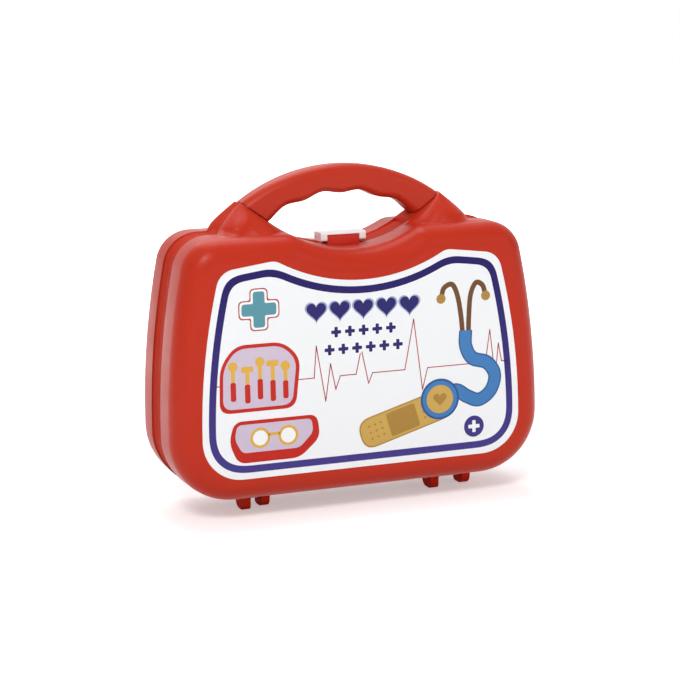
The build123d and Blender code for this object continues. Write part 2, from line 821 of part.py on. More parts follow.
with BuildPart() as plaster_box:
    with BuildSketch(box_frame.offset(-box_thick / 2)):
        box_outline()
    extrude(amount=box_thick)
    fillet(plaster_box.edges(), box_round)
plaster_box.part.label = "plaster_box"
export_step(plaster_box.part, "parts/plaster_box.step")

# ================================================================ pill jar
jar_frame = tool_frame(rear, jar_place, jar_y)
jar_foot = -(jar_height + cap_height) / 2
jar_neck = jar_foot + jar_height


def jar_outline():
    """The jar and its cap seen from the seam."""
    Rectangle(2 * cap_radius, jar_height + cap_height)


with BuildPart() as jar:
    with BuildSketch(jar_frame):
        with BuildLine():
            Polyline(
                (0, jar_foot),
                (jar_radius, jar_foot),
                (jar_radius, jar_neck - jar_shoulder),
                (jar_radius - jar_shoulder, jar_neck),
                (0, jar_neck),
                close=True,
            )
        make_face()
    revolve(axis=tool_axis(jar_frame))
    fillet(jar.faces().filter_by(GeomType.PLANE).edges().sort_by(tool_axis(jar_frame))[0], jar_shoulder)
jar.part.label = "pill_jar"
export_step(jar.part, "parts/pill_jar.step")

with BuildPart() as cap:
    with BuildSketch(ring_plane(jar_frame, jar_neck)):
        Circle(cap_radius)
        with PolarLocations(cap_radius, cap_flutes):
            Circle(flute_radius, mode=Mode.SUBTRACT)
    extrude(amount=cap_height)
    chamfer(cap.faces().sort_by(tool_axis(jar_frame))[-1].edges(), pin_chamfer)
cap.part.label = "pill_jar_cap"
export_step(cap.part, "parts/pill_jar_cap.step")

# ================================================================ rear tray
flat_well = grip_thick / 2 + seat_gap
jar_well = jar_y - deck_y + cap_radius + seat_gap
round_well = syringe_radius + seat_gap
rear_wells = (
    (probe_frame, probe_outline, flat_well),
    (otoscope_frame, otoscope_outline, funnel_depth + seat_gap),
    (tweezers_frame, tweezers_outline, tweezers_thick / 2 + seat_gap),
    (hammer_frame, hammer_outline, flat_well),
    (syringe_frame, syringe_outline, round_well),
    (box_frame, box_outline, box_thick / 2 + seat_gap),
    (jar_frame.offset(jar_y - deck_y), jar_outline, jar_well),
)
with BuildPart() as rear_tray:
    add(tray(rear, deck_y, rear_wells))
rear_tray.part.label = "rear_tray"
export_step(rear_tray.part, "parts/rear_tray.step")

with BuildPart() as front_tray:
    add(tray(front, basin_y, ()))
front_tray.part.label = "front_tray"
export_step(front_tray.part, "parts/front_tray.step")

# ================================================================ play glasses
glasses_frame = tool_frame(front, (0, glasses_z, 0), basin_y - seat_gap - glasses_thick / 2)
with BuildPart() as glasses_rim_part:
    with BuildSketch(glasses_frame.offset(-glasses_thick / 2)) as rim_face:
        with Locations((-eye_x, 0), (eye_x, 0)):
            RectangleRounded(eye_width + 2 * glasses_rim, eye_height + 2 * glasses_rim, eye_round)
        with Locations((0, glasses_rim)):
            Rectangle(2 * eye_x, glasses_rim)
        with Locations((-eye_x, 0), (eye_x, 0)):
            RectangleRounded(eye_width, eye_height, eye_round - glasses_rim / 2, mode=Mode.SUBTRACT)
    extrude(amount=glasses_thick)
glasses_rim_part.part.label = "glasses_rim"
export_step(glasses_rim_part.part, "parts/glasses_rim.step")

# ================================================================ scissors
scissors_y = basin_y - seat_gap - blade_thick - seat_gap / 2
scissors_frame = tool_frame(front, scissors_place, scissors_y)
for name, hand, level in (("upper", 1, seat_gap / 2), ("lower", -1, -seat_gap / 2 - blade_thick)):
    with BuildPart() as lever:
        with BuildSketch(scissors_frame.offset(level)) as outline:
            with BuildLine():
                Polyline(
                    (-hand * blade_width / 2, 0),
                    (-hand * blade_width / 3, blade_length),
                    (0, blade_length - blade_width),
                    (hand * blade_width / 2, 0),
                    (hand * (ring_x - scissors_ring / 2), -ring_drop),
                    (hand * (ring_x - scissors_ring), -ring_drop),
                    close=True,
                )
            make_face()
            Circle(blade_width / 2)
            with Locations((hand * ring_x, -ring_drop)):
                Circle(scissors_ring)
                Circle(scissors_hole, mode=Mode.SUBTRACT)
            Circle(rivet_radius + pin_clearance, mode=Mode.SUBTRACT)
        extrude(amount=blade_thick)
    lever.part.label = "scissors_" + name
    export_step(lever.part, "parts/scissors_" + name + ".step")

with BuildPart() as rivet:
    with BuildSketch(scissors_frame.offset(-blade_thick - seat_gap / 2)):
        Circle(rivet_radius)
    extrude(amount=2 * blade_thick + seat_gap)
    with BuildSketch(scissors_frame.offset(blade_thick + seat_gap / 2)):
        Circle(rivet_head)
    extrude(amount=rivet_cap)
rivet.part.label = "scissors_rivet"
export_step(rivet.part, "parts/scissors_rivet.step")
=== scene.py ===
from math import cos, radians, sin

import bmesh
import bpy
import numpy as np
from mathutils import Matrix, Vector


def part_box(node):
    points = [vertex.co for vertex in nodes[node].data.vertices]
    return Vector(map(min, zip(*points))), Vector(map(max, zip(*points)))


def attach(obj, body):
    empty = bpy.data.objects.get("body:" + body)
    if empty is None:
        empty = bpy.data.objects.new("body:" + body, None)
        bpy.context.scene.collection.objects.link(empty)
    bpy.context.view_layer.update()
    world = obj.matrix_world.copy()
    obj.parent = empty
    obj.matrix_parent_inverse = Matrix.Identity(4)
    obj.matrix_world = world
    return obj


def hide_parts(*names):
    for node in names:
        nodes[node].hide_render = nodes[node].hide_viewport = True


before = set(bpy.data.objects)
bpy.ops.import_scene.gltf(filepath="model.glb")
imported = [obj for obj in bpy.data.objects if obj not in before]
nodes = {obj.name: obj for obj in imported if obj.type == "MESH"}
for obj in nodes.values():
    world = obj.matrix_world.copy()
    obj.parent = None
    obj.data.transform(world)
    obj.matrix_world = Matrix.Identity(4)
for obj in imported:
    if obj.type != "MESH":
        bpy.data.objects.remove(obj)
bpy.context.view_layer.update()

# ---- Where it is seen from -------------------------------------------------------
# A long lens a good metre away, a little to the left and just above the handle, with
# the slight tilt of a camera that is held by hand.
view_turn = radians(-20.3)
view_rise = radians(10.36)
view_roll = radians(-1.12)
view_distance = 1.2904
view_target = Vector((-0.0173, -0.045, 0.1218))
focal_pixels = 1900
frame_pixels = 680

back = Vector((sin(view_turn) * cos(view_rise), -cos(view_turn) * cos(view_rise), sin(view_rise)))
level = Vector((0, 0, 1)).cross(back).normalized()
upright = back.cross(level)
right = cos(view_roll) * level + sin(view_roll) * upright
up = cos(view_roll) * upright - sin(view_roll) * level
lens = bpy.data.cameras.new("camera")
lens.sensor_fit = "HORIZONTAL"
lens.sensor_width = 36.0
lens.lens = focal_pixels / frame_pixels * lens.sensor_width
camera = bpy.data.objects.new("camera", lens)
camera.matrix_world = Matrix.Translation(view_target + back * view_distance) @ Matrix(
    (right, up, back)).transposed().to_4x4()
bpy.context.scene.collection.objects.link(camera)
bpy.context.scene.camera = camera


# ---- The two half shells ---------------------------------------------------------
# Injection-moulded red plastic with a polished mould's gloss: a faint waviness where the
# wall shrank on cooling, and a colour that varies a little with the flow of the melt.
case_red = (0.48, 0.024, 0.008, 1)
case_red_pale = (0.54, 0.033, 0.012, 1)
# Painted light: the hinge lugs are the same plastic as the shell, painted a brighter red to lift the shade
# that falls on them under the case.
lug_painted_light_red = (0.72, 0.034, 0.014, 1)
lug_painted_light_low, lug_painted_light_high = 0.0095, 0.0125   # the lugs' tone gives way to the shell's between these


def new_group(name, inputs, outputs):
    """An empty shader group with its sockets, each given as (name, kind, default)."""
    group = bpy.data.node_groups.new(name, "ShaderNodeTree")
    for label, kind, value in inputs:
        socket = group.interface.new_socket(label, in_out="INPUT", socket_type=kind)
        socket.default_value = value
    for label, kind in outputs:
        group.interface.new_socket(label, in_out="OUTPUT", socket_type=kind)
    return group


def noise(tree, place, scale, detail=0.0):
    """Noise of one size on the object's own coordinates."""
    texture = tree.nodes.new("ShaderNodeTexNoise")
    texture.inputs["Scale"].default_value = scale
    texture.inputs["Detail"].default_value = detail
    tree.links.new(place.outputs["Object"], texture.inputs["Vector"])
    return texture.outputs["Fac"]


def spread(tree, value, low, high, out_low, out_high):
    """A value carried from one range to another and held at its ends."""
    node = tree.nodes.new("ShaderNodeMapRange")
    ends = (("From Min", low), ("From Max", high), ("To Min", out_low), ("To Max", out_high))
    for name, number in ends:
        node.inputs[name].default_value = number
    tree.links.new(value, node.inputs["Value"])
    return node.outputs["Result"]


def combine(tree, operation, first, second):
    """Two values, or a value and a number, put together by one sum."""
    node = tree.nodes.new("ShaderNodeMath")
    node.operation = operation
    for socket, value in zip(node.inputs, (first, second)):
        if isinstance(value, (int, float)):
            socket.default_value = value
        else:
            tree.links.new(value, socket)
    return node.outputs[0]


def tinted(tree, factor, first, second):
    """Two colours, or colour outputs, mixed by a factor."""
    node = tree.nodes.new("ShaderNodeMix")
    node.data_type = "RGBA"
    tree.links.new(factor, node.inputs["Factor"])
    for socket, value in ((node.inputs[6], first), (node.inputs[7], second)):
        if isinstance(value, tuple):
            socket.default_value = value
        else:
            tree.links.new(value, socket)
    return node.outputs[2]


def moulded_group():
    """Moulded plastic: Colour runs between two tints on slow noise, Roughness drifts with
    a middling noise, and Normal adds a slow swell to a fine grain."""
    group = new_group(
        "moulded_plastic",
        (("Tint", "NodeSocketColor", case_red), ("Pale tint", "NodeSocketColor", case_red_pale),
         ("Roughness", "NodeSocketFloat", 0.2), ("Swell", "NodeSocketFloat", 1.0)),
        (("Colour", "NodeSocketColor"), ("Roughness", "NodeSocketFloat"), ("Normal", "NodeSocketVector")),
    )
    new, link = group.nodes.new, group.links.new
    given, result, place = new("NodeGroupInput"), new("NodeGroupOutput"), new("ShaderNodeTexCoord")
    link(tinted(group, noise(group, place, 9, 3), given.outputs["Tint"], given.outputs["Pale tint"]),
         result.inputs["Colour"])
    drift = spread(group, noise(group, place, 40, 5), 0.3, 0.7, -0.03, 0.05)
    link(combine(group, "ADD", given.outputs["Roughness"], drift), result.inputs["Roughness"])
    swelling, graining = new("ShaderNodeBump"), new("ShaderNodeBump")
    swelling.inputs["Distance"].default_value = 0.0006
    link(given.outputs["Swell"], swelling.inputs["Strength"])
    link(noise(group, place, 26, 1), swelling.inputs["Height"])
    graining.inputs["Strength"].default_value = 0.08
    graining.inputs["Distance"].default_value = 0.0001
    link(noise(group, place, 1800), graining.inputs["Height"])
    link(swelling.outputs["Normal"], graining.inputs["Normal"])
    link(graining.outputs["Normal"], result.inputs["Normal"])
    return group


moulded = moulded_group()


def moulded_plastic(name, tint, pale_tint, roughness, swell=0.12, gloss=0.3):
    """A plastic that reads the moulded group, with its gloss set on the shader itself."""
    material = bpy.data.materials.new(name)
    material.use_nodes = True
    tree = material.node_tree
    shader = tree.nodes["Principled BSDF"]
    skin = tree.nodes.new("ShaderNodeGroup")
    skin.name = "skin"
    skin.node_tree = moulded
    skin.inputs["Tint"].default_value = tint
    skin.inputs["Pale tint"].default_value = pale_tint
    skin.inputs["Roughness"].default_value = roughness
    skin.inputs["Swell"].default_value = swell
    tree.links.new(skin.outputs["Colour"], shader.inputs["Base Color"])
    tree.links.new(skin.outputs["Roughness"], shader.inputs["Roughness"])
    tree.links.new(skin.outputs["Normal"], shader.inputs["Normal"])
    shader.inputs["IOR"].default_value = 1.5
    shader.inputs["Specular IOR Level"].default_value = gloss
    return material


def finish_node(material, *names):
    """CAD nodes take one material in place of their plain ones."""
    for name in names:
        nodes[name].data.materials.clear()
        nodes[name].data.materials.append(material)


def shell_finish(name, tint, pale_tint, roughness, gloss):
    """The case plastic, with painted light low down: a brighter red on the hinge lugs that lifts the shade
    they stand in under the case.
    """
    material = moulded_plastic(name, tint, pale_tint, roughness, gloss=gloss)
    tree = material.node_tree
    place, parts = tree.nodes.new("ShaderNodeTexCoord"), tree.nodes.new("ShaderNodeSeparateXYZ")
    tree.links.new(place.outputs["Object"], parts.inputs[0])
    # Painted light on the lugs: below these heights the brighter red takes over from the shell's own tint.
    lug_painted_light = spread(tree, parts.outputs["Z"], lug_painted_light_low, lug_painted_light_high, 1, 0)
    tree.links.new(tinted(tree, lug_painted_light, tree.nodes["skin"].outputs["Colour"], lug_painted_light_red),
                   tree.nodes["Principled BSDF"].inputs["Base Color"])
    return material


# The broad outside is polished, and the narrow recessed band along the seam is left dull.
shell_plastic = shell_finish("case_red_plastic", case_red, case_red_pale, 0.34, 0.16)
band_red, band_red_pale = (0.50, 0.026, 0.009, 1), (0.54, 0.034, 0.012, 1)
band_plastic = shell_finish("seam_band_plastic", band_red, band_red_pale, 0.6, 0.04)
band_half = 0.0113                  # faces nearer the seam than this are the band's
sharp_angle = radians(35)
weld = 0.00001


def mesh_points(mesh):
    """The places of a mesh's points, as rows of x, y and z."""
    places = np.empty(len(mesh.vertices) * 3)
    mesh.vertices.foreach_get("co", places)
    return places.reshape(-1, 3)


horn_base = 0.195                   # the shoulder that the horns stand on
horn_crest = 0.2146
horn_toe_x = 0.0925                 # the new outer slope, at its foot and at the crest
horn_peak_x = 0.0735
horn_bow = 0.0059                   # how full the slope's arc is
horn_narrowing = 0.50               # share of the depth lost at the crest
horn_inner_x = 0.05                 # nothing nearer the middle narrows
round_x, round_z = 0.0779, 0.1995   # the CAD horn's round shoulder
round_radius = 0.0142
flank_x, flank_z = 0.0811, 0.2133   # its flank above that, and how steeply it leans
flank_lean = 4.75
mouth_x, mouth_z = 0.0545, 0.2009   # the slanted line where the handle enters
mouth_lean = 1.357
mouth_least_x = 0.060
least_width = 0.001


def leaning_horns(places):
    """The horns' outer slope and depth, worked out anew above the shoulder: across, a point
    keeps its share of the way from the mouth line to the outer slope, which becomes one long
    arc, and in depth the horn narrows like a tent towards its crest."""
    across, depth, height = np.abs(places[:, 0]), places[:, 1], places[:, 2]
    share = np.clip((height - horn_base) / (horn_crest - horn_base), 0, 1)
    slope = horn_toe_x + (horn_peak_x - horn_toe_x) * share + horn_bow * share * (1 - share)
    above = np.clip(height - round_z, 0, None)
    round_part = round_x + np.sqrt(np.clip(round_radius**2 - above**2, 0, None))
    flank = flank_x - (height - flank_z) * flank_lean
    shoulder = np.where(height < flank_z, round_part, flank)
    mouth = np.maximum(mouth_least_x, mouth_x + (height - mouth_z) * mouth_lean)
    width = np.maximum(shoulder - mouth, least_width)
    moved = mouth + (across - mouth) * (slope - mouth) / width
    horn = (height > horn_base) & (across > mouth)
    tent = 1 - horn_narrowing * share * share * (3 - 2 * share)
    side = np.sign(places[:, 0])
    places[:, 0] = np.where(horn, side * np.minimum(moved, np.maximum(across, slope)), places[:, 0])
    places[:, 1] = np.where((height > horn_base) & (across > horn_inner_x), depth * tent, depth)
    return places


def horned_shell(node, body):
    """A merged copy of a half shell with its two horns leant in, which stands for the node."""
    mesh = nodes[node].data.copy()
    mesh.name = node + "_moulding"
    work = bmesh.new()
    work.from_mesh(mesh)
    bmesh.ops.remove_doubles(work, verts=work.verts, dist=weld)
    work.to_mesh(mesh)
    work.free()
    centres = np.empty(len(mesh.polygons) * 3)
    mesh.polygons.foreach_get("center", centres)
    in_band = np.abs(centres.reshape(-1, 3)[:, 1]) < band_half
    mesh.vertices.foreach_set("co", leaning_horns(mesh_points(mesh)).ravel())
    mesh.materials.clear()
    mesh.materials.append(shell_plastic)
    mesh.materials.append(band_plastic)
    mesh.polygons.foreach_set("material_index", in_band.astype(np.int32))
    mesh.shade_smooth()
    mesh.set_sharp_from_angle(angle=sharp_angle)
    mesh.update()
    piece = bpy.data.objects.new(node + "_moulding", mesh)
    bpy.context.scene.collection.objects.link(piece)
    weigh = piece.modifiers.new("even_gloss", "WEIGHTED_NORMAL")
    weigh.keep_sharp = True
    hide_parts(node)
    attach(piece, body)


horned_shell("front_shell", "front_half")
horned_shell("rear_shell", "rear_half")
# Painted light: the catch is the case's red plastic, painted a brighter red to lift the shade that the handle
# and horns cast on it in the dip.
catch_painted_light_red, catch_painted_light_red_pale = (0.60, 0.026, 0.014, 1), (0.64, 0.034, 0.018, 1)
catch_plastic = moulded_plastic("catch_red_plastic_painted_light", catch_painted_light_red, catch_painted_light_red_pale, 0.35)
finish_node(catch_plastic, "latch_catch")

# ---- The handle ------------------------------------------------------------------
# A red grip with four finger hollows, moulded apart from the shells in the same plastic,
# and held by its two ends inside the horns.
grip_red, grip_red_pale = (0.47, 0.026, 0.009, 1), (0.53, 0.036, 0.013, 1)
grip_plastic = moulded_plastic("grip_red_plastic", grip_red, grip_red_pale, 0.36, 0.15, 0.2)
finish_node(grip_plastic, "handle")

# ---- The flip latch --------------------------------------------------------------
# A small white moulded clip that turns on a steel pin in the rear shell and snaps over the
# red catch of the front one.
latch_white, latch_white_pale = (0.95, 0.94, 0.94, 1), (0.97, 0.96, 0.96, 1)
latch_plastic = moulded_plastic("latch_white_plastic", latch_white, latch_white_pale, 0.25)
finish_node(latch_plastic, "latch")


steel_dark, steel_bright = (0.42, 0.42, 0.43, 1), (0.62, 0.62, 0.63, 1)


def drawn_steel():
    """Drawn wire: bare metal whose roughness runs in fine rings along the pin."""
    material = bpy.data.materials.new("drawn_steel")
    material.use_nodes = True
    tree = material.node_tree
    shader = tree.nodes["Principled BSDF"]
    place, stretch = tree.nodes.new("ShaderNodeTexCoord"), tree.nodes.new("ShaderNodeMapping")
    stretch.inputs["Scale"].default_value = (1, 12, 12)
    tree.links.new(place.outputs["Object"], stretch.inputs["Vector"])
    lines = tree.nodes.new("ShaderNodeTexNoise")
    lines.inputs["Scale"].default_value = 400
    tree.links.new(stretch.outputs["Vector"], lines.inputs["Vector"])
    tree.links.new(spread(tree, lines.outputs["Fac"], 0.3, 0.7, 0.22, 0.42), shader.inputs["Roughness"])
    tree.links.new(tinted(tree, lines.outputs["Fac"], steel_dark, steel_bright), shader.inputs["Base Color"])
    shader.inputs["Metallic"].default_value = 1
    return material


finish_node(drawn_steel(), "latch_pin", "hinge_pin_left", "hinge_pin_right")

# ---- The label -------------------------------------------------------------------
# A white printed film on the front, glued into its shallow bed. Its inks are a blue frame,
# a cross, a heartbeat line and simple pictures of care things, each a thin layer of ink.
label_front = -0.045
ink_step = 0.00003
mm = 0.001
film_white, film_white_pale = (0.88, 0.89, 0.91, 1), (0.91, 0.92, 0.93, 1)
label_film = moulded_plastic("label_film", film_white, film_white_pale, 0.34, 0.0, 0.15)
finish_node(label_film, "label")


def evenly(rim, count):
    """A closed rim with its points spaced evenly along its own length."""
    closed = np.vstack((rim, rim[:1]))
    along = np.concatenate(([0], np.cumsum(np.linalg.norm(np.diff(closed, axis=0), axis=1))))
    steps = np.linspace(0, along[-1], count, endpoint=False)
    return np.column_stack([np.interp(steps, along, closed[:, axis]) for axis in (0, 1)])


def label_edge():
    """The rim of the film's front: its corner points in order of their angle about a point
    inside, spaced evenly."""
    places = mesh_points(nodes["label"].data)
    on_front = np.abs(places[:, 1] - label_front) < 0.02 * mm
    front = np.unique(places[on_front][:, [0, 2]].round(5), axis=0)
    middle_z, count = 0.1, 900
    turn = np.argsort(np.arctan2(front[:, 1] - middle_z, front[:, 0]))
    return evenly(front[turn], count)


def inward(rim, distance):
    """A rim moved inwards by a distance along its normals, without the points that come
    nearer than that to any other part of it."""
    along = np.roll(rim, -1, axis=0) - np.roll(rim, 1, axis=0)
    along /= np.linalg.norm(along, axis=1)[:, None]
    moved = rim + np.column_stack((-along[:, 1], along[:, 0])) * distance
    nearest = np.linalg.norm(moved[:, None] - rim[None], axis=2).min(axis=1)
    return evenly(moved[nearest > distance - 0.1 * mm], len(rim))


def rounded(corners, radius, steps=8):
    """A closed rim through corners in millimetres, each corner replaced by a curve that
    leaves its two sides at the given distance."""
    corner = np.array(corners, float) * mm
    before, after = np.roll(corner, 1, axis=0) - corner, np.roll(corner, -1, axis=0) - corner
    reach = np.broadcast_to(np.array(radius, float) * mm, len(corner))[:, None]
    start = corner + before / np.linalg.norm(before, axis=1)[:, None] * reach
    end = corner + after / np.linalg.norm(after, axis=1)[:, None] * reach
    t = np.linspace(0, 1, steps)[None, :, None]
    bend = (1 - t)**2 * start[:, None] + 2 * t * (1 - t) * corner[:, None] + t**2 * end[:, None]
    return bend.reshape(-1, 2)


def disc(x, z, radius, count=64):
    """A round rim in millimetres."""
    turn = np.linspace(0, 2 * np.pi, count, endpoint=False)
    return np.column_stack((x + radius * np.cos(turn), z + radius * np.sin(turn))) * mm


def heart(x, z, width, count=72):
    """A heart's rim in millimetres: across runs as the cube of a sine, and up as a sum of
    four cosines."""
    turn = np.linspace(0, 2 * np.pi, count, endpoint=False)[::-1]
    across = 16 * np.sin(turn)**3
    up = 13 * np.cos(turn) - 5 * np.cos(2 * turn) - 2 * np.cos(3 * turn) - np.cos(4 * turn)
    return np.column_stack((x + across * width / 32, z + up * width / 32)) * mm


def cross(x, z, reach, half, corner=2.0):
    """A cross with four equal arms and rounded ends, in millimetres."""
    a, b = reach, half
    steps = [(b, -a), (b, -b), (a, -b), (a, b), (b, b), (b, a),
             (-b, a), (-b, b), (-a, b), (-a, -b), (-b, -b), (-b, -a)]
    radii = [corner, corner * 0.5, corner] * 4
    return rounded([(x + u, z + v) for u, v in steps], radii)


def stroke(points, width):
    """A smooth line drawn through points in millimetres: a curve through them, cut into
    short faces that reach half the width to either side of it."""
    knots = np.array(points, float) * mm
    t = np.arange(len(knots))
    fine = np.linspace(0, len(knots) - 1, 10 * len(knots))
    cell = np.clip(fine.astype(int), 0, len(knots) - 2)
    u = (fine - t[cell])[:, None]
    tangent = np.gradient(knots, axis=0)
    line = ((2 * u**3 - 3 * u**2 + 1) * knots[cell] + (u**3 - 2 * u**2 + u) * tangent[cell]
            + (3 * u**2 - 2 * u**3) * knots[cell + 1] + (u**3 - u**2) * tangent[cell + 1])
    along = np.gradient(line, axis=0)
    along /= np.linalg.norm(along, axis=1)[:, None]
    sideways = np.column_stack((-along[:, 1], along[:, 0])) * width / 2 * mm
    low, high = line - sideways, line + sideways
    return list(np.stack((low[:-1], low[1:], high[1:], high[:-1]), axis=1))


def thin_lines(points, width):
    """Straight strokes in millimetres, each a bar that runs half a width past its ends."""
    knots = np.array(points, float) * mm
    bars = []
    for start, end in zip(knots[:-1], knots[1:]):
        along = (end - start) / np.linalg.norm(end - start) * width / 2 * mm
        across = np.array((along[1], -along[0]))
        bars.append(np.array((start - along + across, end + along + across, end + along - across,
                              start - along - across)))
    return bars


def printed(name, rims, layer, ink, inner=None):
    """Flat layers of ink: each rim, taken anticlockwise, is a face of many corners, closed by
    a back and by sides. With an inner rim the first one is a frame around it."""
    near, far = label_front - ink_step * layer, label_front - ink_step * (layer - 1)
    points, faces, start = [], [], 0
    for rim in rims:
        both = [rim] if inner is None else [rim, inner]
        count = len(rim)
        step, next_step = np.arange(count), np.roll(np.arange(count), -1)
        for ring in both:
            for depth in (near, far):
                points.append(np.column_stack((ring[:, 0], np.full(count, depth), ring[:, 1])))
        side = np.column_stack((step, step + count, next_step + count, next_step)) + start
        faces += side.tolist()
        if inner is None:
            faces += [(step + start).tolist(), (step[::-1] + count + start).tolist()]
        else:
            inside = 2 * count
            face = np.column_stack((step, next_step, next_step + inside, step + inside)) + start
            faces += (side[:, ::-1] + inside).tolist()
            faces += face.tolist()
            faces += (face[:, ::-1] + count).tolist()
        start += 2 * count * len(both)
    mesh = bpy.data.meshes.new(name)
    mesh.from_pydata(np.vstack(points).tolist(), [], faces)
    mesh.materials.append(ink)
    piece = bpy.data.objects.new(name, mesh)
    bpy.context.scene.collection.objects.link(piece)
    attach(piece, "front_half")


label_foot, label_head = 0.035, 0.165


def printing_ink(name, low_tint, high_tint, roughness=0.32):
    """Offset ink on film: its tint runs from the label's foot to its top, with a fine grain
    in colour and gloss."""
    material = bpy.data.materials.new(name)
    material.use_nodes = True
    tree = material.node_tree
    shader = tree.nodes["Principled BSDF"]
    place, parts = tree.nodes.new("ShaderNodeTexCoord"), tree.nodes.new("ShaderNodeSeparateXYZ")
    tree.links.new(place.outputs["Object"], parts.inputs[0])
    rise = spread(tree, parts.outputs["Z"], label_foot, label_head, 0, 1)
    mottle = spread(tree, noise(tree, place, 900, 2), 0.3, 0.7, -0.08, 0.08)
    tint = tinted(tree, combine(tree, "ADD", rise, mottle), low_tint, high_tint)
    tree.links.new(tint, shader.inputs["Base Color"])
    tree.links.new(spread(tree, noise(tree, place, 300, 2), 0.3, 0.7, roughness - 0.04, roughness + 0.04),
                   shader.inputs["Roughness"])
    shader.inputs["Specular IOR Level"].default_value = 0.15
    return material


frame_blue = printing_ink("frame_blue_ink", (0.058, 0.042, 0.240, 1), (0.017, 0.009, 0.115, 1))
title_blue = printing_ink("title_blue_ink", (0.028, 0.022, 0.150, 1), (0.026, 0.020, 0.140, 1))
haze_blue = printing_ink("haze_blue_ink", (0.33, 0.37, 0.60, 1), (0.36, 0.40, 0.60, 1))
cross_teal = printing_ink("cross_teal_ink", (0.10, 0.29, 0.35, 1), (0.11, 0.31, 0.37, 1))
line_red = printing_ink("line_red_ink", (0.42, 0.030, 0.030, 1), (0.45, 0.040, 0.035, 1))
kit_red = printing_ink("kit_red_ink", (0.52, 0.020, 0.012, 1), (0.58, 0.030, 0.018, 1))
kit_lilac = printing_ink("kit_lilac_ink", (0.60, 0.50, 0.62, 1), (0.66, 0.56, 0.68, 1))
kit_yellow = printing_ink("kit_yellow_ink", (0.72, 0.40, 0.05, 1), (0.78, 0.46, 0.08, 1))
cloth_blue = printing_ink("cloth_blue_ink", (0.055, 0.19, 0.46, 1), (0.07, 0.23, 0.52, 1))
deep_blue = printing_ink("deep_blue_ink", (0.030, 0.10, 0.27, 1), (0.035, 0.11, 0.30, 1))
honey = printing_ink("honey_ink", (0.58, 0.36, 0.085, 1), (0.66, 0.43, 0.12, 1))
honey_shade = printing_ink("honey_shade_ink", (0.40, 0.22, 0.045, 1), (0.44, 0.25, 0.06, 1))
brown = printing_ink("brown_ink", (0.13, 0.055, 0.022, 1), (0.17, 0.075, 0.030, 1))
print_white = printing_ink("print_white_ink", (0.90, 0.90, 0.92, 1), (0.93, 0.93, 0.94, 1))


def softened(rim, reach=11):
    """A rim whose corners are eased: each point is the mean of its neighbours on both sides."""
    return np.mean([np.roll(rim, step, axis=0) for step in range(-reach, reach + 1)], axis=0)


# The blue frame, which follows the label's own edge.
edge = label_edge()
frame_outside, frame_inside = softened(inward(edge, 4.4 * mm)), softened(inward(edge, 9.3 * mm))
printed("label_frame", [frame_outside], 1, frame_blue, frame_inside)

# A heartbeat from frame to frame, in its own course.
rest_z = 97.1
heartbeat = [(-106, rest_z), (-36.5, rest_z), (-34.5, 119), (-28.5, 80.5), (-24.5, 106), (-21, 88),
             (-17.5, rest_z), (-6, rest_z), (-2, 114.5), (3, 90), (6, rest_z), (30, rest_z), (37, 132),
             (43, 82), (47, rest_z), (86, rest_z), (91, rest_z), (94.5, 120), (98.5, 85.5), (101, 110),
             (103.5, rest_z), (107, rest_z)]
printed("label_heartbeat", thin_lines(heartbeat, 0.7), 1, line_red)

# A teal cross with a white gap and a thin red rim.
cross_x, cross_z = -74.5, 147.1
printed("label_cross_rim", [cross(cross_x, cross_z, 14.4, 6.4, 3.4)], 2, line_red)
printed("label_cross_gap", [cross(cross_x, cross_z, 13.6, 5.6, 3.0)], 3, print_white)
printed("label_cross", [cross(cross_x, cross_z, 12.2, 4.1, 2.2)], 4, cross_teal)

# A row of hearts above two rows of small crosses.
heart_row = [(x, 143, 14) for x in (-34, -17, 0, 17, 34)]
printed("label_heart_haze", [heart(x, z, w + 2.4) for x, z, w in heart_row], 2, haze_blue)
printed("label_hearts", [heart(x, z, w) for x, z, w in heart_row], 3, title_blue)
small_marks = [(x, z) for z, row in ((127.5, range(-20, 21, 10)), (115.5, range(-25, 26, 10))) for x in row]
printed("label_marks_haze", [disc(x, z, 4.6) for x, z in small_marks], 2, print_white)
printed("label_marks", [cross(x, z, 3.6, 1.2, 0.6) for x, z in small_marks], 3, title_blue)

upper_tile = [(-104, 78), (-50, 78), (-46, 112), (-58, 124), (-92, 124), (-103, 110)]
upper_ground = [(-101.5, 80.5), (-52.5, 80.5), (-48.8, 111), (-59, 121.5), (-91, 121.5), (-100.6, 109)]
printed("label_kit_rim", [rounded(upper_tile, 8)], 2, kit_red)
printed("label_kit_ground", [rounded(upper_ground, 7)], 3, kit_lilac)


def bar(x, half, low, high, radius):
    """An upright bar with rounded ends in millimetres."""
    return rounded([(x - half, low), (x + half, low), (x + half, high), (x - half, high)], radius)


tool_places = ((-94, 86, 108), (-84, 84, 106), (-75, 86, 110), (-66, 84, 109), (-57, 85, 106))
grips = [bar(x, 1.9, low, (low + high) / 2 + 2, 1.6) for x, low, high in tool_places]
heads = [bar(x, 1.3, (low + high) / 2 + 2, high, 1.0) for x, low, high in tool_places]
round_tips = [disc(x, high + 1.6, 3.3) for x, low, high in tool_places[::2]]
flat_tips = [bar(x, 4.2, high - 1, high + 3, 1.2) for x, low, high in tool_places[1::2]]
printed("label_kit_grips", grips, 4, kit_red)
printed("label_kit_heads", heads, 5, kit_yellow)
printed("label_kit_tips", round_tips + flat_tips, 6, kit_yellow)

